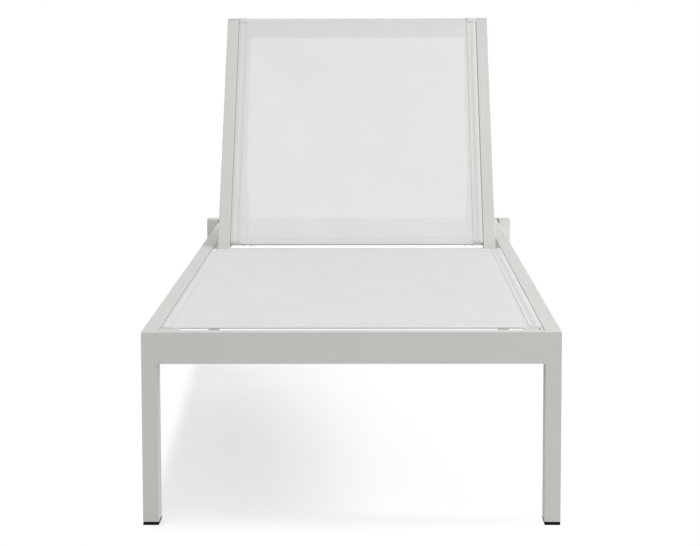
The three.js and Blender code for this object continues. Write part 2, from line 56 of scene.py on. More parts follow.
# Light: an even white room, a softbox high on the right, a weaker one in front and a narrow one
# on each rear corner
ROOM_LEVEL = 0.635
WIDE = {"target": (0, -0.5, 0.35), "spread": math.pi}
NARROW = {"distance": 3, "size": 0.3, "spread": math.radians(13)}
SOFTBOXES = {
    "key": {**WIDE, "toward": (0.84, -0.07, 0.53), "distance": 8, "size": 2.8, "level": 0.54},
    "fill": {**WIDE, "toward": (0.40, -0.88, 0.27), "distance": 4.5, "size": 3, "level": 0.11},
    "corner_left": {
        **NARROW, "target": (-0.37, 0.80, 0.35), "toward": (-0.70, -0.42, 0.58), "level": 0.35,
    },
    "corner_right": {
        **NARROW, "target": (0.33, 0.90, 0.36), "toward": (0.60, -0.62, 0.50), "level": 0.45,
    },
}

# Floor. A fade is none at its first place and whole at its second. Each fade at a side of the
# shadow has a slant, which moves it with y.
FLOOR_SIZE = 60
FLOOR_COLOUR = (0.66, 0.66, 0.66)
FLOOR_SEEN_COLOUR = (0.64, 0.64, 0.64)
FLOOR_GLOW = 0.465
# Painted shade: across a band of y under the backrest and just past the head end, the floor's glow drops to the
# lower level below, which darkens the floor there
PAINTED_SHADE_GLOW = 0.37
PAINTED_SHADE_START = (0.38, 0.6)
PAINTED_SHADE_END = (1.15, 0.8)
# Painted light: past the side and far fades the floor shows plain white, which takes out the object's cast shadow
# there
SHADOW_SIDE_FADES = (((-0.37, -0.335), 0.03), ((0.18, -0.32), 0.2))
SHADOW_FAR_FADE = (1.9, 1.3)

# Mesh detail
BEVEL_STEPS = 4
BAR_BEVEL_STEPS = 2
ARM_BEVEL_STEPS = 3
ROUND_STEPS = 32
SHARP_ANGLE = math.radians(38)
CORNER_ANGLE = math.radians(30)
FLAT_ANGLE = 0.01
JOIN_OVERLAP = 0.001
MERGE_DISTANCE = 0.00001
UPRIGHT_SHARE = 0.9

# Bevels
TUBE_BEVEL = 0.0015
SMALL_BEVEL = 0.0012
ROD_BEVEL = 0.001
FOOT_BAR_BEVEL = 0.0008
PLASTIC_BEVEL = 0.0008
BAR_BEVEL = 0.0006
BUMPER_BEVEL = 0.0006
SHANK_BEVEL = 0.0006
PLUG_BEVEL = 0.0005
HINGE_BEVEL = 0.0004

# Small parts
BAR_MITRE = 0.011
CORD_GAP = 0.00035
PLUG_GAP = 0.0003
PLUG_STEM_INSET = 0.0025
CORNER_PLATE_WIDE = 0.013
CORNER_PLATE_THICK = 0.004
CORNER_PLATE_LOW = 0.0008
FOOT_GAP = 0.0003
FOOT_GROOVE = 0.0006
FOOT_COLLAR_INSET = 0.0009
FOOT_COLLAR_RISE = 0.004

# Fasteners. Shares follow a head's thickness or radius.
HEAD_THICK = {"pivot": 0.005, "stay": 0.0012}
SHANK_RADIUS = {"pivot": 0.004, "stay": 0.003}
HEAD_SIDES = 24
DOME_STEPS = 6
DOME_SEAT_SHARE = 0.25
CROWN_RADIUS_SHARE = 0.42
CROWN_RISE_SHARE = 0.04
SOCKET_RADIUS_SHARE = 0.40
SOCKET_RIM_SHARE = 1.08
SOCKET_DEPTH_SHARE = 0.55
RIVET_SIDES = 16
SEAT_RIVETS = {"count": 8, "thick": 0.0016, "radius": 0.004}
RACK_RIVETS = {"count": 5, "thick": 0.0012, "radius": 0.0022}
BACK_RIVETS = {"count": 5, "thick": 0.0014, "radius": 0.0035}
SEAT_RIVET_DROP = 0.002
RACK_RIVET_RISE = 0.0032

# Cloth: one thin woven layer, doubled at its hems
CLOTH_THICK = 0.0003
LAYER_GAP = 0.0001
LAYER_STEP = CLOTH_THICK + LAYER_GAP
SIDE_HEM = 0.030
SIDE_STRIP = 0.022
SEAT_END_HEM = 0.060
SEAT_DRAWN_BACK = 0.010
BACK_END_HEM = 0.018
BACK_DRAWN_UP = 0.0008
SEAT_SAG = 0.003
BACK_SAG = 0.005
SIDE_SEAMS = (0.013, 0.016)
END_SEAMS = (0.002, 0.005)
SEAM_MARGIN = 0.002
SEAM_DIP = 0.0004
SEAM_DIP_WIDTH = 0.0008
CORD_BULGE = 0.0004
CORD_BULGE_AT = 0.0075
CORD_BULGE_WIDTH = 0.0035

# Top rod: the cloth's pocket round it and the short wraps at its ends
ROD_POCKET = 0.050
POCKET_SEAM_DROP = 0.009
WRAP_LAYERS = 3
WRAP_STARTS = (0.010, 0.005)
WRAP_STEPS = 18
WRAP_COLUMNS = 6

# Cloth mesh
FOLD_RADIUS = 0.0011
FOLD_STEPS = 8
HEM_STEPS = 6
TOP_STEPS = 6
EDGE_START = math.radians(90)
EDGE_END = math.radians(-40)
EDGE_STEPS = 10
EDGE_SQUARENESS = 0.6
FINE_STEP = 0.0007
FINE_MARGIN = 3 * SEAM_DIP_WIDTH
SEAM_ROWS = 4
SHEET_COLUMNS = 36
SHEET_ROWS = 60

# Stitching. Each stitch runs through five points and dips into the cloth at both ends.
STITCH_PITCH = 0.004
STITCH_LENGTH = 0.0032
STITCH_THICK = 0.00055
STITCH_SIDES = 6
STITCH_PLACE_SHARES = (-1, -0.6, 0, 0.6, 1)
STITCH_THICK_SHARES = (0.3, 0.9, 1, 0.9, 0.3)
STITCH_RISE_SHARES = (-0.7, 0.05, 0.3, 0.05, -0.7)

# Weave
WEAVE_PITCH = 0.0016
YARN_SHARE = 0.66
BACK_YARN_SHARE = 0.62
STRIP_YARN_SHARE = 0.9
YARN_OVER = 0.8
WEAVE_HEIGHT = 0.00025
WEAVE_STRENGTH = 0.4
CLOTH_THROUGH = 0.06
STRIP_THROUGH = 0.05
CLOTH_ROUGH = (0.5, 0.62)
CLOTH_SHINE = 0.35
CLOTH_TONE_SCALE = 9
CLOTH_TONE_SHARES = (0.985, 1.01)
CLOTH_GLOSS_SCALE = 300

# Coats and mouldings
NOISE_RANGE = (0.3, 0.7)
TONE_SCALE = 6
TONE_SHARES = (0.985, 1.015)
GLOSS_SCALE = 35
GLOSS_SPREAD = 0.05
GRAIN_DETAIL = 2.0

# Welds
BEAD_RADIUS = 0.0017
BEAD_RIPPLE = 0.00025
BEAD_PITCH = 0.0022
BEAD_STEP = 0.0007
BEAD_SIDES = 8


# Places in the frame

def space_box(name, space=None):
    """The lowest and highest corner of a CAD node in a space of its own."""
    inverse = (space or Matrix()).inverted()
    points = [inverse @ vertex.co for vertex in frame["nodes"][name].data.vertices]
    low = Vector([min(point[axis] for point in points) for axis in range(3)])
    high = Vector([max(point[axis] for point in points) for axis in range(3)])
    return low, high


def joint(name):
    return next(found for found in frame["joints"] if found["name"] == name)


recline = joint("recline")
RECLINE = -math.radians(recline["range_deg"][0])
BACK = Matrix.Translation(recline["pos_m"]) @ Matrix.Rotation(RECLINE, 4, "X")
stay_pivot = Vector(joint("stay_swing")["pos_m"])
stay_run = sum(space_box("stay_foot_bar"), Vector()) / 2 - stay_pivot
STAY = Matrix.Translation(stay_pivot) @ Matrix.Rotation(math.atan2(stay_run.z, stay_run.y), 4, "X")


# Nodes for materials

def new_material(name):
    material = bpy.data.materials.new(name)
    material.use_nodes = True
    material.node_tree.nodes.clear()
    return material, material.node_tree


def node(tree, kind, inputs=None, **settings):
    """Adds a node. Each input takes a link from another node or a value of its own."""
    made = tree.nodes.new(kind)
    for name, value in settings.items():
        setattr(made, name, value)
    for place, value in (inputs or {}).items():
        if isinstance(value, bpy.types.NodeSocket):
            tree.links.new(value, made.inputs[place])
        else:
            made.inputs[place].default_value = value
    return made


def calculate(tree, operation, *values):
    return node(tree, "ShaderNodeMath", dict(enumerate(values)), operation=operation).outputs[0]


def noise(tree, vector, scale, detail=3.0):
    inputs = {"Vector": vector, "Scale": scale, "Detail": detail}
    return node(tree, "ShaderNodeTexNoise", inputs).outputs["Fac"]


def uneven(tree, vector, scale, low, high):
    """A value that a noise moves from low to high."""
    return node(tree, "ShaderNodeMapRange", {
        "Value": noise(tree, vector, scale), "From Min": NOISE_RANGE[0], "From Max": NOISE_RANGE[1],
        "To Min": low, "To Max": high,
    }).outputs["Result"]


def smooth_step(tree, value, ends):
    """Rises softly from none at the first end to one at the second."""
    inputs = {"Value": value, "From Min": ends[0], "From Max": ends[1]}
    made = node(tree, "ShaderNodeMapRange", inputs, interpolation_type="SMOOTHSTEP")
    return made.outputs["Result"]


def two_tones(tree, value, first, second):
    inputs = {"Factor": value, 6: (*first, 1), 7: (*second, 1)}
    return node(tree, "ShaderNodeMix", inputs, data_type="RGBA").outputs[2]


def bump(tree, height, distance, strength=1.0):
    inputs = {"Height": height, "Distance": distance, "Strength": strength}
    return node(tree, "ShaderNodeBump", inputs).outputs["Normal"]


def mix_shaders(tree, share, first, second):
    return node(tree, "ShaderNodeMixShader", {0: share, 1: first, 2: second}).outputs[0]


def finish_surface(tree, shader):
    node(tree, "ShaderNodeOutputMaterial", {"Surface": shader})


def shade(colour, change):
    return tuple(min(1, part * change) for part in colour)


def uneven_colour(tree, vector, scale, colour, shares):
    tone = uneven(tree, vector, scale, 0, 1)
    return two_tones(tree, tone, shade(colour, shares[0]), shade(colour, shares[1]))


def coated(name, colour, rough, grain_scale, grain_height, metallic=0.0, streak=None, shine=0.4):
    """A coated, moulded or brushed surface with uneven tone, gloss and grain."""
    material, tree = new_material(name)
    place = node(tree, "ShaderNodeTexCoord").outputs["Object"]
    grain_place = place
    if streak:
        inputs = {"Vector": place, "Scale": streak}
        grain_place = node(tree, "ShaderNodeMapping", inputs).outputs["Vector"]
    gloss = uneven(tree, grain_place, GLOSS_SCALE, rough - GLOSS_SPREAD, rough + GLOSS_SPREAD)
    grain = noise(tree, grain_place, grain_scale, GRAIN_DETAIL)
    surface = node(tree, "ShaderNodeBsdfPrincipled", {
        "Base Color": uneven_colour(tree, place, TONE_SCALE, colour, TONE_SHARES),
        "Roughness": gloss,
        "Normal": bump(tree, grain, grain_height),
        "Metallic": metallic,
        "Specular IOR Level": shine,
    })
    finish_surface(tree, surface.outputs[0])
    return material


def yarn_profile(tree, place, offset, yarn_share):
    """The number of each yarn in a row, where the yarns are, and how high they stand."""
    turns = calculate(tree, "MULTIPLY_ADD", place, 1 / WEAVE_PITCH, offset)
    across = calculate(tree, "SUBTRACT", calculate(tree, "FRACT", turns), 0.5)
    share = calculate(tree, "DIVIDE", calculate(tree, "ABSOLUTE", across), yarn_share / 2)
    there = calculate(tree, "LESS_THAN", share, 1.0)
    height = calculate(tree, "SUBTRACT", 1.0, calculate(tree, "POWER", share, 2.0))
    return calculate(tree, "FLOOR", turns), there, height


def woven(name, colour, offset, yarn_share=YARN_SHARE, through=CLOTH_THROUGH):
    """Open plain weave of coated round yarns: what shows between them is what lies behind."""
    material, tree = new_material(name)
    place = node(tree, "ShaderNodeTexCoord").outputs["Object"]
    parts = node(tree, "ShaderNodeSeparateXYZ", {0: place}).outputs
    column, warp_there, warp_height = yarn_profile(tree, parts[0], offset, yarn_share)
    row, weft_there, weft_height = yarn_profile(tree, parts[1], offset, yarn_share)
    warp_over = calculate(tree, "PINGPONG", calculate(tree, "ADD", column, row), 1.0)
    weft_over = calculate(tree, "SUBTRACT", 1.0, warp_over)
    warp_up = calculate(tree, "MULTIPLY_ADD", warp_over, YARN_OVER, warp_height)
    weft_up = calculate(tree, "MULTIPLY_ADD", weft_over, YARN_OVER, weft_height)
    height = calculate(
        tree, "MAXIMUM", calculate(tree, "MULTIPLY", warp_there, warp_up),
        calculate(tree, "MULTIPLY", weft_there, weft_up),
    )
    surface = node(tree, "ShaderNodeBsdfPrincipled", {
        "Base Color": uneven_colour(tree, place, CLOTH_TONE_SCALE, colour, CLOTH_TONE_SHARES),
        "Roughness": uneven(tree, place, CLOTH_GLOSS_SCALE, *CLOTH_ROUGH),
        "Normal": bump(tree, height, WEAVE_HEIGHT, WEAVE_STRENGTH),
        "Specular IOR Level": CLOTH_SHINE,
    })
    glow = node(tree, "ShaderNodeBsdfTranslucent", {"Color": (*colour, 1)})
    yarn = mix_shaders(tree, through, surface.outputs[0], glow.outputs[0])
    gap = node(tree, "ShaderNodeBsdfTransparent")
    there = calculate(tree, "MAXIMUM", warp_there, weft_there)
    finish_surface(tree, mix_shaders(tree, there, gap.outputs[0], yarn))
    return material


PAINT_COLOUR = (0.65, 0.65, 0.627)
CLOTH_COLOUR = (0.9, 0.9, 0.905)
# The backrest's cloth is the seat's cloth made a little darker: painted shade for the way light falls on the
# backrest
BACK_CLOTH_SHADED_COLOUR = shade(CLOTH_COLOUR, 0.97)
STRIP_COLOUR = (0.77, 0.765, 0.735)
THREAD_COLOUR = (0.74, 0.74, 0.73)
CORD_COLOUR = (0.62, 0.62, 0.6)
BLACK_COLOUR = (0.009, 0.007, 0.007)
GREY_COLOUR = (0.6, 0.6, 0.58)
STEEL_COLOUR = (0.55, 0.55, 0.56)

PAINT = coated("powder_coat", PAINT_COLOUR, rough=0.52, grain_scale=700, grain_height=0.00006)
WELD = coated(
    "coated_weld", shade(PAINT_COLOUR, 0.97), rough=0.52, grain_scale=900, grain_height=0.0001
)
MESH = woven("sling_weave", CLOTH_COLOUR, 0.0)
MESH_UNDER = woven("sling_weave_under", CLOTH_COLOUR, 0.5)
# The backrest's weaves carry that painted shade
BACK_MESH = woven("back_weave", BACK_CLOTH_SHADED_COLOUR, 0.0, BACK_YARN_SHARE)
BACK_MESH_UNDER = woven("back_weave_under", BACK_CLOTH_SHADED_COLOUR, 0.5, BACK_YARN_SHARE)
STRIP = woven("sling_strip", STRIP_COLOUR, 0.25, STRIP_YARN_SHARE, STRIP_THROUGH)
THREAD = coated("thread", THREAD_COLOUR, rough=0.6, grain_scale=2500, grain_height=0.0001)
CORD = coated("edge_cord", CORD_COLOUR, rough=0.5, grain_scale=1500, grain_height=0.0001)
BLACK = coated(
    "black_plastic", BLACK_COLOUR, rough=0.6, grain_scale=1400, grain_height=0.0001, shine=0.05
)
GREY = coated("grey_plastic", GREY_COLOUR, rough=0.5, grain_scale=1200, grain_height=0.00008)
STEEL = coated(
    "bolt_steel", STEEL_COLOUR, rough=0.32, grain_scale=500, grain_height=0.00004, metallic=1.0,
    streak=(8, 1, 1),
)
FINISHES = {
    "frame_paint": PAINT, "sling_mesh": MESH, "black_plastic": BLACK, "grey_plastic": GREY,
    "bolt_steel": STEEL,
}
ENDINGS = {
    "frame_paint": "skin", "black_plastic": "moulded", "grey_plastic": "moulded",
    "bolt_steel": "turned",
}


# Building pieces

def to_mesh(name, shape):
    mesh = bpy.data.meshes.new(name)
    shape.to_mesh(mesh)
    shape.free()
    return mesh


def place_object(name, data):
    placed = bpy.data.objects.new(name, data)
    bpy.context.scene.collection.objects.link(placed)
    return placed


def add_piece(name, shape, material, body, space=None, replaced=()):
    """Turns a bmesh into a piece that rides on a body."""
    bmesh.ops.recalc_face_normals(shape, faces=shape.faces)
    mesh = to_mesh(name, shape)
    mesh.shade_smooth()
    mesh.set_sharp_from_angle(angle=SHARP_ANGLE)
    mesh.materials.append(material)
    piece = place_object(name, mesh)
    if space is not None:
        piece.matrix_world = space
    piece.modifiers.new("flat_faces", "WEIGHTED_NORMAL").keep_sharp = True
    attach(piece, body)
    if replaced:
        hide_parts(*replaced)
    return piece


def dress(name, shape, body, slot, space=None):
    """Adds the piece that stands for one CAD node."""
    add_piece(f"{name}_{ENDINGS[slot]}", shape, FINISHES[slot], body, space, [name])


def add_box(shape, low, high):
    corners = [
        shape.verts.new((x, y, z))
        for x in (low[0], high[0]) for y in (low[1], high[1]) for z in (low[2], high[2])
    ]
    for face in ((0, 1, 3, 2), (4, 6, 7, 5), (0, 4, 5, 1), (2, 3, 7, 6), (0, 2, 6, 4), (1, 5, 7, 3)):
        shape.faces.new([corners[place] for place in face])


def bevel_corners(shape, size, steps=BEVEL_STEPS):
    """Rounds every outside corner and leaves the inside ones crisp."""
    bmesh.ops.recalc_face_normals(shape, faces=shape.faces)
    shape.normal_update()
    edges = [
        edge for edge in shape.edges
        if edge.is_manifold and edge.is_convex and edge.calc_face_angle(0) > CORNER_ANGLE
    ]
    bmesh.ops.bevel(
        shape, geom=edges, offset=size, segments=steps, profile=0.5, affect="EDGES",
        clamp_overlap=True,
    )


def bevelled_box(low, high, size):
    shape = bmesh.new()
    add_box(shape, low, high)
    bevel_corners(shape, size)
    return shape


def joined_boxes(boxes):
    """The outside of boxes that overlap, as one closed mesh."""
    made = []
    for low, high in boxes:
        shape = bmesh.new()
        add_box(shape, low, high)
        bmesh.ops.recalc_face_normals(shape, faces=shape.faces)
        made.append(place_object("box", to_mesh("box", shape)))
    for other in made[1:]:
        union = made[0].modifiers.new("union", "BOOLEAN")
        union.operation, union.solver, union.object = "UNION", "EXACT", other
    bpy.context.view_layer.update()
    evaluated = made[0].evaluated_get(bpy.context.evaluated_depsgraph_get())
    shape = bmesh.new()
    shape.from_mesh(evaluated.to_mesh())
    for box in made:
        mesh = box.data
        bpy.data.objects.remove(box)
        bpy.data.meshes.remove(mesh)
    bmesh.ops.remove_doubles(shape, verts=shape.verts, dist=MERGE_DISTANCE)
    bmesh.ops.dissolve_limit(shape, angle_limit=FLAT_ANGLE, verts=shape.verts, edges=shape.edges)
    return shape


def add_prism(shape, near, far):
    """A solid between two outlines with as many points each."""
    near = [shape.verts.new(point) for point in near]
    far = [shape.verts.new(point) for point in far]
    shape.faces.new(near)
    shape.faces.new(far[::-1])
    for place in range(len(near)):
        after = (place + 1) % len(near)
        shape.faces.new((near[place], far[place], far[after], near[after]))


def frame_along(direction):
    """Two directions square to a run, for its cross-section."""
    direction = direction.normalized()
    helper = Vector((0, 0, 1)) if abs(direction.z) < UPRIGHT_SHARE else X_AXIS
    across = direction.cross(helper).normalized()
    return across, across.cross(direction).normalized()


def add_ring(shape, centre, section, radius_at, sides):
    """Vertices round a centre, at a radius that may change with the angle."""
    across, up = section
    ring = []
    for side in range(sides):
        angle = 2 * math.pi * side / sides
        spoke = across * math.cos(angle) + up * math.sin(angle)
        ring.append(shape.verts.new(centre + spoke * radius_at(angle)))
    return ring


def steady(radius):
    return lambda angle: radius


def join_rings(shape, rings, closed=False):
    """Faces from ring to ring, and over both ends of a run that isn't closed."""
    following = rings[1:] + rings[:1] if closed else rings[1:]
    for one, two in zip(rings, following):
        for side in range(len(one)):
            after = (side + 1) % len(one)
            shape.faces.new((one[side], one[after], two[after], two[side]))
    if not closed:
        shape.faces.new(rings[0])
        shape.faces.new(rings[-1][::-1])


def add_sweep(shape, points, radii, sides, closed=False):
    """A round tube through points, with a radius at each."""
    rings = []
    count = len(points)
    for place, point in enumerate(points):
        if closed:
            run = points[(place + 1) % count] - points[place - 1]
        else:
            run = points[min(place + 1, count - 1)] - points[max(place - 1, 0)]
        rings.append(add_ring(shape, point, frame_along(run), steady(radii[place]), sides))
    join_rings(shape, rings, closed)


def add_turned(shape, centre, axis, profile, sides=ROUND_STEPS):
    """A turned form: profile is (distance along the axis, radius) from end to end."""
    section = frame_along(axis)
    join_rings(shape, [
        add_ring(shape, centre + axis * along, section, steady(radius), sides)
        for along, radius in profile
    ])


def rounded_ends(start, end, radius, bevel):
    """A rod's profile with rounded rims."""
    rim = []
    for step in range(BEVEL_STEPS + 1):
        angle = math.pi / 2 * step / BEVEL_STEPS
        rim.append((start + bevel * (1 - math.sin(angle)), radius - bevel * (1 - math.cos(angle))))
    return rim[::-1] + [(start + end - along, size) for along, size in rim]


def rod_in(low, high, bevel):
    """A rod along X that fills a box."""
    shape = bmesh.new()
    reach = (high.x - low.x) / 2
    profile = rounded_ends(-reach, reach, (high.z - low.z) / 2, bevel)
    add_turned(shape, (low + high) / 2, X_AXIS, profile)
    return shape


def dome(thick, radius):
    """A button head's profile, from its flat seat to its crown."""
    profile = [(0, radius), (thick * DOME_SEAT_SHARE, radius)]
    for step in range(1, DOME_STEPS + 1):
        angle = math.pi / 2 * step / DOME_STEPS
        rise = DOME_SEAT_SHARE + (1 - DOME_SEAT_SHARE) * math.sin(angle)
        profile.append((thick * rise, radius * max(math.cos(angle), CROWN_RADIUS_SHARE)))
    return profile


def add_button_head(shape, centre, axis, radius, thick):
    """A button head with a hexagon socket."""
    socket = radius * SOCKET_RADIUS_SHARE

    def hexagon(angle):
        local = (angle + math.pi / 6) % (math.pi / 3) - math.pi / 6
        return socket * math.cos(math.pi / 6) / math.cos(local)

    profile = [part for part in dome(thick, radius) if part[1] > radius * CROWN_RADIUS_SHARE]
    crown = profile[-1][0] + thick * CROWN_RISE_SHARE
    levels = [(along, steady(size)) for along, size in profile]
    levels.append((crown, lambda angle: hexagon(angle) * SOCKET_RIM_SHARE))
    levels.append((crown, hexagon))
    levels.append((crown - thick * SOCKET_DEPTH_SHARE, hexagon))
    section = frame_along(axis)
    join_rings(shape, [
        add_ring(shape, centre + axis * along, section, radius_at, HEAD_SIDES)
        for along, radius_at in levels
    ])


def bead_points(corners, closed):
    """Evenly spaced points along a run of straight stretches."""
    corners = [Vector(corner) for corner in corners]
    if closed:
        corners.append(corners[0])
    points = []
    for one, two in zip(corners, corners[1:]):
        count = max(2, round((two - one).length / BEAD_STEP))
        points += [one.lerp(two, step / count) for step in range(count)]
    if not closed:
        points.append(corners[-1])
    return points


def add_bead(shape, corners, closed=False):
    """A weld bead with its ripples."""
    points = bead_points(corners, closed)
    radii = [
        BEAD_RADIUS + BEAD_RIPPLE * abs(math.sin(math.pi * place * BEAD_STEP / BEAD_PITCH))
        for place in range(len(points))
    ]
    add_sweep(shape, points, radii, BEAD_SIDES, closed)


def inner_and_outer(low, high, side):
    """The x of a box's faces towards the middle and away from it."""
    return (low.x, high.x) if side > 0 else (high.x, low.x)


def rectangle(x, low, high):
    """Corners round a box along X."""
    return [(x, low.y, low.z), (x, high.y, low.z), (x, high.y, high.z), (x, low.y, high.z)]


def circle(x, centre, radius):
    """Points round a rod along X."""
    points = []
    for step in range(ROUND_STEPS):
        angle = 2 * math.pi * step / ROUND_STEPS
        points.append((x, centre.y + radius * math.cos(angle), centre.z + radius * math.sin(angle)))
    return points


# Welded frame

def build_frame():
    boxes = []
    covered = []
    along = Vector((0, JOIN_OVERLAP, 0))
    across = Vector((JOIN_OVERLAP, 0, 0))
    for label, _ in SIDES:
        low, high = space_box(f"side_rail_{label}")
        boxes.append((low, high + along))
        rail_top = high.z
        boxes.append(space_box(f"front_leg_{label}"))
        low, high = space_box(f"rear_leg_{label}")
        high.z = rail_top
        boxes.append((low, high))
        for kind in ("side_rail", "front_leg", "rear_leg", "rear_leg_top_plate"):
            covered.append(f"{kind}_{label}")
    for name in ("front_beam", "head_beam", "under_brace_front", "under_brace_rear"):
        low, high = space_box(name)
        boxes.append((low - across, high + across))
        covered.append(name)
    shape = joined_boxes(boxes)
    bevel_corners(shape, TUBE_BEVEL)
    add_piece("welded_frame", shape, PAINT, "frame", replaced=covered)


def build_frame_welds():
    beads = bmesh.new()
    rail_low, rail_high = space_box("side_rail_right")
    for name in ("under_brace_front", "under_brace_rear"):
        low, high = space_box(name)
        for _, side in SIDES:
            add_bead(beads, rectangle(side * rail_low.x, low, high), True)
    low, high = space_box("head_beam")
    leg_inner = space_box("rear_leg_right")[0].x
    for _, side in SIDES:
        corners = rectangle(side * leg_inner, low, high)
        add_bead(beads, [corners[3], corners[0], corners[1]])
        inner, outer = side * rail_low.x, side * rail_high.x
        add_bead(beads, [
            (inner, low.y, rail_high.z), (inner, low.y, rail_low.z), (outer, low.y, rail_low.z),
            (outer, low.y, rail_high.z),
        ])
    low, high = space_box("front_beam")
    for _, side in SIDES:
        inner = side * rail_low.x
        add_bead(beads, [(inner, high.y, high.z), (inner, high.y, low.z)])
    add_piece("frame_welds", beads, WELD, "frame")


def build_feet():
    """Caps with a shoe on the floor, a groove and a collar that goes up into the leg."""
    for end in ("front", "rear"):
        for label, _ in SIDES:
            name = f"{end}_foot_cap_{label}"
            low, high = space_box(name)
            leg_bottom = space_box(f"{end}_leg_{label}")[0].z
            shoe_top = leg_bottom - FOOT_GAP
            shape = bevelled_box(low, (high.x, high.y, shoe_top - FOOT_GROOVE), PLASTIC_BEVEL)
            inset = Vector((FOOT_COLLAR_INSET, FOOT_COLLAR_INSET, 0))
            collar_low, collar_high = low + inset, high - inset
            collar_low.z = shoe_top - 2 * FOOT_GROOVE
            collar_high.z = leg_bottom + FOOT_COLLAR_RISE
            add_box(shape, collar_low, collar_high)
            dress(name, shape, "frame", "black_plastic")


# Slings

def spaced(start, end, count):
    return [start + (end - start) * step / count for step in range(count + 1)]


def finely_spaced(start, end):
    return spaced(start, end, round((end - start) / FINE_STEP))


class Sling:
    """The measures of a sling on its side bars, in the space of the body that carries it."""

    def __init__(self, kind, body, channel, sag, end_hem, drawn, space=None):
        low, high = space_box(f"{kind}_sling", space)
        bar_low, bar_high = space_box(f"{kind}_side_bar_right", space)
        cord_low, cord_high = space_box(f"{kind}_edge_cord_right", space)
        self.kind = kind
        self.body = body
        self.space = space
        self.channel = channel
        self.sag = sag
        self.end_hem = end_hem
        self.start = low.y + drawn
        self.end = high.y
        self.top = high.z - CLOTH_THICK / 2
        self.bar_inner = bar_low.x
        self.bar_end = bar_high.y
        self.cord_x = (cord_low.x + cord_high.x) / 2
        self.cord_z = (cord_low.z + cord_high.z) / 2
        self.shoulder = channel - LAYER_STEP - LAYER_GAP - CLOTH_THICK / 2
        self.flat_end = 2 * self.cord_x - self.shoulder
        self.width = 2 * (self.shoulder + self.top - self.cord_z)
        fine_from = channel - SIDE_SEAMS[-1] - FINE_MARGIN
        self.flat = spaced(0, fine_from, SHEET_COLUMNS // 2)
        self.flat += finely_spaced(fine_from, self.flat_end)[1:]
        self.edge = self.shoulder_drop(0)
        self.foot_seams = [self.start + end_hem - inset for inset in END_SEAMS]
        self.seams = self.foot_seams + [self.end - end_hem + inset for inset in END_SEAMS]

    def lift(self, x, y):
        """How far the cloth stands above its flat plane."""
        share = min(max((y - self.start) / (self.end - self.start), 0), 1)
        across = min(abs(x) / self.bar_inner, 1)
        height = -self.sag * math.sin(math.pi * share) * (1 - across * across)
        inset = self.channel - abs(x)
        height += CORD_BULGE * math.exp(-(((inset - CORD_BULGE_AT) / CORD_BULGE_WIDTH) ** 2))
        for seam in SIDE_SEAMS:
            height -= SEAM_DIP * math.exp(-(((inset - seam) / SEAM_DIP_WIDTH) ** 2))
        for seam in self.seams:
            height -= SEAM_DIP * math.exp(-(((y - seam) / SEAM_DIP_WIDTH) ** 2))
        return height

    def shoulder_drop(self, layer):
        """The round over the edge cord: places across and drops from the flat plane."""
        edge = []
        reach = self.shoulder - self.cord_x + layer
        rise = self.top - self.cord_z + layer
        for step in range(EDGE_STEPS + 1):
            angle = EDGE_START + (EDGE_END - EDGE_START) * step / EDGE_STEPS
            across = math.cos(angle) ** EDGE_SQUARENESS if step else 0
            up = math.copysign(abs(math.sin(angle)) ** EDGE_SQUARENESS, math.sin(angle))
            edge.append((self.cord_x + reach * across, self.cord_z + rise * up - self.top))
        return edge

    def side_columns(self, width):
        """Places across one side of the cloth, out to the round over the edge cord."""
        return finely_spaced(self.channel - width, self.flat_end)

    def rows(self, start, end):
        """Places along the cloth, closer together at the seams."""
        places = {start, end}
        places.update(spaced(start, end, SHEET_ROWS))
        for seam in self.seams:
            for step in range(-SEAM_ROWS, SEAM_ROWS + 1):
                place = seam + step * SEAM_DIP_WIDTH / 2
                if start < place < end:
                    places.add(place)
        return sorted(places)


def keyed(shape, points):
    """One row of vertices, keyed by column."""
    return {column: shape.verts.new(point) for column, point in enumerate(points)}


def lay_cloth(shape, rows, columns):
    """Faces between rows of vertices, wherever two rows share a pair of neighbouring columns."""
    for one, two in zip(rows, rows[1:]):
        for left, right in zip(columns, columns[1:]):
            if all(column in row for row in (one, two) for column in (left, right)):
                shape.faces.new((one[left], one[right], two[right], two[left]))


def add_cloth(name, shape, material, sling):
    """Turns a sheet into a layer of cloth on a sling."""
    piece = add_piece(name, shape, material, sling.body, sling.space)
    piece.modifiers.clear()
    thick = piece.modifiers.new("thickness", "SOLIDIFY")
    thick.thickness = CLOTH_THICK
    thick.offset = 0
    return piece


def cloth_row(shape, sling, y, z, wrapped=False, lifted=False):
    """One row across a whole sling, keyed by its signed place from the middle."""
    row = {}
    for _, side in SIDES:
        for place, x in enumerate(sling.flat):
            if place == 0 and side == 1:
                continue
            lift = sling.lift(x, y) if lifted else 0
            row[side * place] = shape.verts.new((side * x, y, z + lift))
        if wrapped:
            for place, (x, drop) in enumerate(sling.edge):
                row[side * (len(sling.flat) + place)] = shape.verts.new((side * x, y, z + drop))
    return row


def close_corner(shape, row, sling):
    """Closes the pocket of the edge cord at one end."""
    first = len(sling.flat) - 1
    for _, side in SIDES:
        corners = [row[side * (first + place)] for place in range(len(sling.edge) + 1)]
        corners.append(shape.verts.new((corners[0].co.x, corners[0].co.y, corners[-1].co.z)))
        shape.faces.new(corners)


def hem_path(sling, y, inward):
    """A folded end in places of (y, z): under layer and turn, ending where the top layer starts."""
    turn = y + inward * FOLD_RADIUS
    deep = sling.top - 2 * FOLD_RADIUS
    length = sling.end_hem - FOLD_RADIUS
    path = [
        (turn + inward * length * (HEM_STEPS - step) / HEM_STEPS, deep) for step in range(HEM_STEPS)
    ]
    for step in range(FOLD_STEPS):
        angle = -math.pi / 2 + math.pi * step / FOLD_STEPS
        path.append((
            turn - inward * FOLD_RADIUS * math.cos(angle),
            sling.top - FOLD_RADIUS * (1 - math.sin(angle)),
        ))
    return path


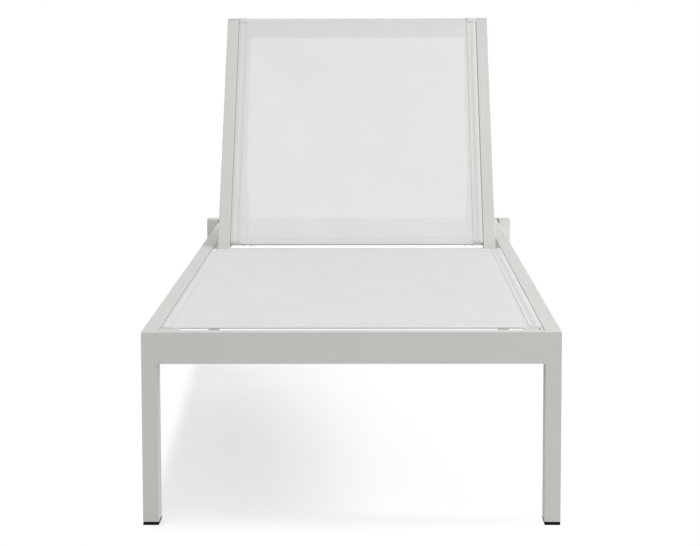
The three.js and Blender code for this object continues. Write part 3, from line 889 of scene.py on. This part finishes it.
def lay_foot(shape, sling, end):
    """Rows from the foot hem on and over the edge cords up to an end, and all their columns."""
    rows = [cloth_row(shape, sling, y, z) for y, z in hem_path(sling, sling.start, 1)]
    first = len(rows)
    for y in sling.rows(sling.start + FOLD_RADIUS, end):
        rows.append(cloth_row(shape, sling, y, sling.top, wrapped=True, lifted=True))
    close_corner(shape, rows[first], sling)
    close_corner(shape, rows[-1], sling)
    return rows, sorted(rows[first])


def add_side_hems(sling, material, end):
    """A second layer under each side of a sling, out to its cord pocket."""
    shape = bmesh.new()
    across = sling.side_columns(SIDE_HEM)
    under = sling.top - LAYER_STEP
    for _, side in SIDES:
        rows = [
            keyed(shape, [(side * x, y, under + sling.lift(x, y)) for x in across])
            for y in sling.rows(sling.start + sling.end_hem, end)
        ]
        lay_cloth(shape, rows, range(len(across)))
    return add_cloth(f"{sling.kind}_side_hems", shape, material, sling)


def add_strips(sling, material, end):
    """Doubled edges on top of a sling, from its channels in to the side seams."""
    shape = bmesh.new()
    across = sling.side_columns(SIDE_STRIP)
    edge = sling.shoulder_drop(LAYER_STEP)
    for _, side in SIDES:
        rows = []
        for y in sling.rows(sling.start + FOLD_RADIUS, end):
            section = [(x, LAYER_STEP + sling.lift(x, y)) for x in across] + edge
            rows.append(keyed(shape, [(side * x, y, sling.top + rise) for x, rise in section]))
        lay_cloth(shape, rows, range(len(rows[0])))
    return add_cloth(f"{sling.kind}_edge_strips", shape, material, sling)


def add_stitch(shape, middle, run):
    """One stitch: a short thread with both ends dipping into the cloth."""
    points = [
        middle + run * (STITCH_LENGTH / 2 * place) + Vector((0, 0, STITCH_THICK * rise))
        for place, rise in zip(STITCH_PLACE_SHARES, STITCH_RISE_SHARES)
    ]
    radii = [STITCH_THICK / 2 * share for share in STITCH_THICK_SHARES]
    add_sweep(shape, points, radii, STITCH_SIDES)


def stitch_line(shape, sling, start, end, layer=0):
    """Stitches along a straight line of (x, y) on top of a sling or of a layer on it."""
    start, end = Vector(start), Vector(end)
    run = (end - start).normalized()
    surface = sling.top + CLOTH_THICK / 2 + layer
    for place in range(int((end - start).length / STITCH_PITCH)):
        at = start + run * (STITCH_PITCH * (place + 0.5))
        middle = Vector((at.x, at.y, surface + sling.lift(at.x, at.y)))
        add_stitch(shape, middle, Vector((run.x, run.y, 0)))


def sew(sling, end):
    """Stitches along the side strips up to an end, and across every seam between them."""
    shape = bmesh.new()
    for seam in SIDE_SEAMS:
        for _, side in SIDES:
            x = side * (sling.channel - seam)
            stitch_line(shape, sling, (x, sling.start + SEAM_MARGIN), (x, end), LAYER_STEP)
    reach = sling.channel - SIDE_STRIP
    for y in sling.seams:
        stitch_line(shape, sling, (-reach, y), (reach, y))
    return add_piece(f"{sling.kind}_stitches", shape, THREAD, sling.body, sling.space)


def build_seat_sling():
    rail_inner = space_box("side_rail_right")[0].x
    sling = Sling("seat", "frame", rail_inner, SEAT_SAG, SEAT_END_HEM, SEAT_DRAWN_BACK)
    end = sling.end - FOLD_RADIUS
    shape = bmesh.new()
    rows, columns = lay_foot(shape, sling, end)
    rows += [cloth_row(shape, sling, y, z) for y, z in reversed(hem_path(sling, sling.end, -1))]
    lay_cloth(shape, rows, columns)
    cloth = add_cloth("seat_sling_mesh", shape, MESH, sling)
    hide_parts("seat_sling")

    hem = add_side_hems(sling, MESH_UNDER, sling.end - sling.end_hem)
    strips = add_strips(sling, MESH, end)
    thread = sew(sling, sling.end - SEAM_MARGIN)


def add_rod_wraps(sling, stations):
    """Short bands of cloth over both ends of the top rod, through places of (y, z)."""
    shape = bmesh.new()
    inner = sling.channel - SIDE_STRIP
    tip = sling.channel - 2 * LAYER_STEP
    for _, side in SIDES:
        rows = [
            keyed(shape, [(side * x, y, z) for x in spaced(inner, tip, WRAP_COLUMNS)])
            for y, z in stations
        ]
        lay_cloth(shape, rows, range(WRAP_COLUMNS + 1))
    return add_cloth("back_rod_wraps", shape, STRIP, sling)


def build_back_sling():
    tube_inner = space_box("back_tube_right", BACK)[0].x
    sling = Sling("back", "backrest", tube_inner, BACK_SAG, BACK_END_HEM, BACK_DRAWN_UP, BACK)
    rod_low, rod_high = space_box("back_top_rod", BACK)
    rod = (rod_low + rod_high) / 2
    pocket_y = rod_low.y - POCKET_SEAM_DROP
    pocket_z = sling.top - LAYER_STEP
    pocket_end = rod.y - ROD_POCKET
    sling.end = rod.y
    sling.seams = sling.foot_seams + [pocket_y]

    wrap = sling.top - rod.z
    toward = Vector((pocket_y - rod.y, pocket_z - rod.z))
    leaves = math.atan2(toward.y, toward.x) + math.acos(wrap / toward.length)
    sweep = math.pi / 2 + (2 * math.pi - leaves)
    turns = [math.pi / 2 - sweep * step / WRAP_STEPS for step in range(WRAP_STEPS + 1)]

    def round_rod(radius):
        return [(rod.y + radius * math.cos(turn), rod.z + radius * math.sin(turn)) for turn in turns]

    shape = bmesh.new()
    rows, columns = lay_foot(shape, sling, sling.bar_end)
    for y in spaced(sling.bar_end, rod.y, TOP_STEPS)[1:]:
        rows.append(cloth_row(shape, sling, y, sling.top, lifted=True))
    path = round_rod(wrap)[1:]
    path.append(((path[-1][0] + pocket_y) / 2, (path[-1][1] + pocket_z) / 2))
    rows += [cloth_row(shape, sling, y, z) for y, z in path]
    for y in reversed(sling.rows(pocket_end, pocket_y + SEAM_MARGIN)):
        rows.append(cloth_row(shape, sling, y, pocket_z, lifted=True))
    lay_cloth(shape, rows, columns)
    cloth = add_cloth("back_sling_mesh", shape, BACK_MESH, sling)
    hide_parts("back_sling")

    hem = add_side_hems(sling, BACK_MESH_UNDER, pocket_end - FOLD_RADIUS)
    above = sling.top + 2 * LAYER_STEP
    stations = [(rod.y - reach, above) for reach in WRAP_STARTS]
    ends = add_rod_wraps(sling, stations + round_rod(wrap + WRAP_LAYERS * LAYER_STEP))
    strips = add_strips(sling, STRIP, rod_low.y)
    thread = sew(sling, sling.bar_end)


# Side bars

def build_side_bars(kind, body, mitre, space=None):
    """Bars with a ledge for the edge cord. The mitre is how far the foot end slopes back."""
    for label, side in SIDES:
        name = f"{kind}_side_bar_{label}"
        low, high = space_box(name, space)
        cord_low, cord_high = space_box(f"{kind}_edge_cord_{label}", space)
        inner, outer = inner_and_outer(low, high, side)
        step = inner_and_outer(cord_low, cord_high, side)[0] - side * CORD_GAP
        ledge = cord_low.z - CORD_GAP
        outline = [
            (outer, low.z), (outer, ledge), (step, ledge), (step, high.z), (inner, high.z),
            (inner, low.z),
        ]
        slope = mitre / (high.z - low.z)
        shape = bmesh.new()
        add_prism(
            shape, [(x, low.y + (high.z - z) * slope, z) for x, z in outline],
            [(x, high.y, z) for x, z in outline],
        )
        bevel_corners(shape, BAR_BEVEL, BAR_BEVEL_STEPS)
        dress(name, shape, body, "frame_paint", space)


def build_corner_plates():
    """Small plates and ledge fillers that close the front corners ahead of the cloth."""
    shape = bmesh.new()
    beam_back = space_box("front_beam")[1].y
    cloth_low, cloth_high = space_box("seat_sling")
    cloth_front = cloth_low.y + SEAT_DRAWN_BACK - CORD_GAP
    for label, side in SIDES:
        cord_low, cord_high = space_box(f"seat_edge_cord_{label}")
        add_box(shape, (cord_low.x, beam_back, cord_low.z), (cord_high.x, cloth_front, cloth_high.z))
        inner, _ = inner_and_outer(*space_box(f"seat_side_bar_{label}"), side)
        reach = sorted((inner, inner - side * CORNER_PLATE_WIDE))
        top = cloth_high.z - CORNER_PLATE_LOW
        add_box(shape, (reach[0], beam_back, top - CORNER_PLATE_THICK), (reach[1], cloth_front, top))
    bevel_corners(shape, BAR_BEVEL, BAR_BEVEL_STEPS)
    add_piece("seat_corner_plates", shape, PAINT, "frame")


# Backrest frame

def build_back_tube(label):
    """One tube with the plugs in its ends and the bumper under it."""
    name = f"back_tube_{label}"
    tube_low, tube_high = space_box(name, BACK)
    dress(name, bevelled_box(tube_low, tube_high, SMALL_BEVEL), "backrest", "frame_paint", BACK)
    stem = Vector((PLUG_STEM_INSET, 0, PLUG_STEM_INSET))
    for end in ("top", "bottom"):
        name = f"back_plug_{end}_{label}"
        low, high = space_box(name, BACK)
        stem_low, stem_high = low + stem, high - stem
        if end == "top":
            low.y = tube_high.y + PLUG_GAP
            stem_high.y = low.y + PLUG_GAP
        else:
            high.y = tube_low.y - PLUG_GAP
            stem_low.y = high.y - PLUG_GAP
        shape = bevelled_box(low, high, PLUG_BEVEL)
        add_box(shape, stem_low, stem_high)
        dress(name, shape, "backrest", "grey_plastic", BACK)
    name = f"back_bumper_{label}"
    shape = bevelled_box(*space_box(name, BACK), BUMPER_BEVEL)
    dress(name, shape, "backrest", "black_plastic", BACK)


def build_backrest():
    welds = bmesh.new()
    hinge_low, hinge_high = space_box("hinge_tube", BACK)
    hinge_radius = (hinge_high.z - hinge_low.z) / 2
    bar_low, bar_high = space_box("back_crossbar", BACK)
    for label, side in SIDES:
        build_back_tube(label)
        add_bead(welds, circle(side * hinge_high.x, Vector(), hinge_radius), True)
        add_bead(welds, rectangle(side * bar_high.x, bar_low, bar_high), True)
    shape = rod_in(hinge_low, hinge_high, HINGE_BEVEL)
    dress("hinge_tube", shape, "backrest", "frame_paint", BACK)
    shape = bevelled_box(bar_low, bar_high, SMALL_BEVEL)
    dress("back_crossbar", shape, "backrest", "frame_paint", BACK)
    add_piece("back_welds", welds, WELD, "backrest", BACK)
    shape = rod_in(*space_box("back_top_rod", BACK), ROD_BEVEL)
    dress("back_top_rod", shape, "backrest", "frame_paint", BACK)


# Stay

def build_stay_arm(name, low, high):
    """A flat arm, round at the pivot and square at the foot bar."""
    half = (high.z - low.z) / 2
    steps = ROUND_STEPS // 2
    section = []
    for step in range(steps + 1):
        angle = math.pi / 2 + math.pi * step / steps
        section.append((half * math.cos(angle), half * math.sin(angle)))
    section += [(high.y, -half), (high.y, half)]
    shape = bmesh.new()
    add_prism(shape, [(low.x, y, z) for y, z in section], [(high.x, y, z) for y, z in section])
    bevel_corners(shape, SMALL_BEVEL, ARM_BEVEL_STEPS)
    dress(name, shape, "stay", "frame_paint", STAY)


def build_stay():
    welds = bmesh.new()
    foot_low, foot_high = space_box("stay_foot_bar", STAY)
    foot = (foot_low + foot_high) / 2
    foot_radius = (foot_high.z - foot_low.z) / 2
    for label, _ in SIDES:
        name = f"stay_arm_{label}"
        low, high = space_box(name, STAY)
        build_stay_arm(name, low, high)
        for x in (low.x, high.x):
            add_bead(welds, circle(x, foot, foot_radius), True)
        name = f"stay_glide_{label}"
        shape = rod_in(*space_box(name, STAY), PLASTIC_BEVEL)
        dress(name, shape, "stay", "black_plastic", STAY)
    add_piece("stay_welds", welds, WELD, "stay", STAY)
    shape = rod_in(foot_low, foot_high, FOOT_BAR_BEVEL)
    dress("stay_foot_bar", shape, "stay", "frame_paint", STAY)


# Fasteners

def build_bolts(kind):
    for label, side in SIDES:
        name = f"{kind}_bolt_{label}"
        low, high = space_box(name, BACK)
        middle = (low + high) / 2
        other, tip = inner_and_outer(low, high, side)
        seat = tip - side * HEAD_THICK[kind]
        out = X_AXIS * side
        shape = bmesh.new()
        add_button_head(
            shape, Vector((seat, middle.y, middle.z)), out, (high.z - low.z) / 2, HEAD_THICK[kind]
        )
        profile = rounded_ends(0, abs(seat - other), SHANK_RADIUS[kind], SHANK_BEVEL)
        add_turned(shape, Vector((other, middle.y, middle.z)), out, profile)
        dress(name, shape, "backrest", "bolt_steel", BACK)


def build_bushes():
    for label, _ in SIDES:
        name = f"pivot_bush_{label}"
        dress(name, rod_in(*space_box(name), PLASTIC_BEVEL), "frame", "black_plastic")
        name = f"stay_spacer_{label}"
        shape = rod_in(*space_box(name, BACK), PLASTIC_BEVEL)
        dress(name, shape, "backrest", "grey_plastic", BACK)


def add_rivets(shape, low, high, x, z, facing, count, thick, radius):
    """A row of domed rivets along a bar."""
    for place in range(count):
        y = low.y + (high.y - low.y) * (place + 0.5) / count
        add_turned(shape, Vector((x, y, z)), facing, dome(thick, radius), RIVET_SIDES)


def build_rivets():
    frame_rivets = bmesh.new()
    back_rivets = bmesh.new()
    for label, side in SIDES:
        inward = X_AXIS * -side
        low, high = space_box(f"seat_side_bar_{label}")
        inner, _ = inner_and_outer(low, high, side)
        z = (low.z + high.z) / 2 - SEAT_RIVET_DROP
        add_rivets(frame_rivets, low, high, inner, z, inward, **SEAT_RIVETS)
        low, high = space_box(f"stay_rack_{label}")
        inner, _ = inner_and_outer(low, high, side)
        z = low.z + RACK_RIVET_RISE
        add_rivets(frame_rivets, low, high, inner, z, inward, **RACK_RIVETS)
        low, high = space_box(f"back_side_bar_{label}", BACK)
        middle = (low.x + high.x) / 2
        add_rivets(back_rivets, low, high, middle, low.z, Vector((0, 0, -1)), **BACK_RIVETS)
    add_piece("frame_rivets", frame_rivets, STEEL, "frame")
    add_piece("back_rivets", back_rivets, STEEL, "backrest", BACK)


# Carried-over CAD nodes

def finish_nodes():
    slots = {row["node"]: row["material_slot"] for row in frame["record"]["subparts"]}
    for name, item in frame["nodes"].items():
        material = CORD if "edge_cord" in name else FINISHES[slots[name]]
        for held in item.material_slots:
            held.material = material


# Floor, light and camera

def seen_directly(tree):
    """One for a ray straight to the eye, in a mirror or through glass, none for a bounce."""
    path = node(tree, "ShaderNodeLightPath").outputs
    seen = calculate(tree, "MAXIMUM", path["Is Camera Ray"], path["Is Glossy Ray"])
    return calculate(tree, "MAXIMUM", seen, path["Is Transmission Ray"])


def floor_material():
    """Shows shading near the object, and the room's white away from it to a ray seen directly; the white is
    painted light over the cast shadow at the object's sides and far off, and the floor has painted shade under the
    backrest.
    """
    material, tree = new_material("floor")
    seen = seen_directly(tree)
    place = node(tree, "ShaderNodeTexCoord").outputs["Object"]
    x, y, _ = node(tree, "ShaderNodeSeparateXYZ", {0: place}).outputs
    away = node(tree, "ShaderNodeVectorMath", {0: place}, operation="LENGTH").outputs["Value"]
    # Painted light: where these fades fall off, the floor turns white over the object's cast shadow
    shadow = smooth_step(tree, away, SHADOW_FAR_FADE)
    for ends, slant in SHADOW_SIDE_FADES:
        slanted = calculate(tree, "MULTIPLY_ADD", y, slant, x)
        shadow = calculate(tree, "MULTIPLY", shadow, smooth_step(tree, slanted, ends))
    # Painted shade: under the backrest and just past the head end the glow drops, darkening the floor
    far = calculate(
        tree, "MULTIPLY", smooth_step(tree, y, PAINTED_SHADE_START), smooth_step(tree, y, PAINTED_SHADE_END)
    )
    level = calculate(tree, "MULTIPLY_ADD", far, PAINTED_SHADE_GLOW - FLOOR_GLOW, FLOOR_GLOW)
    colour = two_tones(tree, seen, FLOOR_COLOUR, FLOOR_SEEN_COLOUR)
    diffuse = node(tree, "ShaderNodeBsdfDiffuse", {"Color": colour})
    glow = node(tree, "ShaderNodeEmission", {"Strength": calculate(tree, "MULTIPLY", seen, level)})
    near = node(tree, "ShaderNodeAddShader", {0: diffuse.outputs[0], 1: glow.outputs[0]})
    white = node(tree, "ShaderNodeEmission")
    outside = calculate(tree, "MULTIPLY", seen, calculate(tree, "SUBTRACT", 1.0, shadow))
    finish_surface(tree, mix_shaders(tree, outside, near.outputs[0], white.outputs[0]))
    return material


def build_floor():
    shape = bmesh.new()
    half = FLOOR_SIZE / 2
    corners = ((-half, -half), (half, -half), (half, half), (-half, half))
    shape.faces.new([shape.verts.new((x, y, 0)) for x, y in corners])
    floor = place_object("floor", to_mesh("floor", shape))
    floor.data.materials.append(floor_material())


def build_room():
    world = bpy.data.worlds.new("room")
    bpy.context.scene.world = world
    world.use_nodes = True
    tree = world.node_tree
    tree.nodes.clear()
    level = calculate(tree, "MULTIPLY_ADD", seen_directly(tree), 1 - ROOM_LEVEL, ROOM_LEVEL)
    background = node(tree, "ShaderNodeBackground", {"Strength": level, "Color": (1, 1, 1, 1)})
    node(tree, "ShaderNodeOutputWorld", {"Surface": background.outputs[0]})


def add_softbox(name, target, toward, distance, size, level, spread):
    """A round lamp that shows a matt surface facing it at this share of its colour."""
    lamp = bpy.data.lights.new(name, "AREA")
    lamp.shape = "DISK"
    lamp.size = size
    lamp.spread = spread
    lamp.energy = level * (math.pi * distance) ** 2 * (1 - spread / 2 / math.tan(spread / 2))
    softbox = place_object(name, lamp)
    toward = Vector(toward).normalized()
    softbox.location = Vector(target) + toward * distance
    softbox.rotation_mode = "QUATERNION"
    softbox.rotation_quaternion = toward.to_track_quat("Z", "Y")
    softbox.visible_camera = False


def build_camera():
    camera = place_object("camera", bpy.data.cameras.new("camera"))
    camera.data.lens = CAMERA_LENS_MM
    camera.data.clip_end = CAMERA_REACH
    turn = Matrix.Rotation(CAMERA_YAW, 4, "Z") @ Matrix.Rotation(math.pi / 2 - CAMERA_PITCH, 4, "X")
    turn = turn @ Matrix.Rotation(CAMERA_ROLL, 4, "Z")
    camera.matrix_world = Matrix.Translation(CAMERA_PLACE) @ turn
    bpy.context.scene.camera = camera
    bpy.context.scene.view_settings.view_transform = "Standard"


build_floor()
build_room()
for name, softbox in SOFTBOXES.items():
    add_softbox(name, **softbox)
build_camera()
finish_nodes()
build_frame()
build_frame_welds()
build_feet()
build_seat_sling()
build_backrest()
build_back_sling()
build_corner_plates()
build_side_bars("seat", "frame", 0)
build_side_bars("back", "backrest", BAR_MITRE, BACK)
build_stay()
build_bolts("pivot")
build_bolts("stay")
build_bushes()
build_rivets()
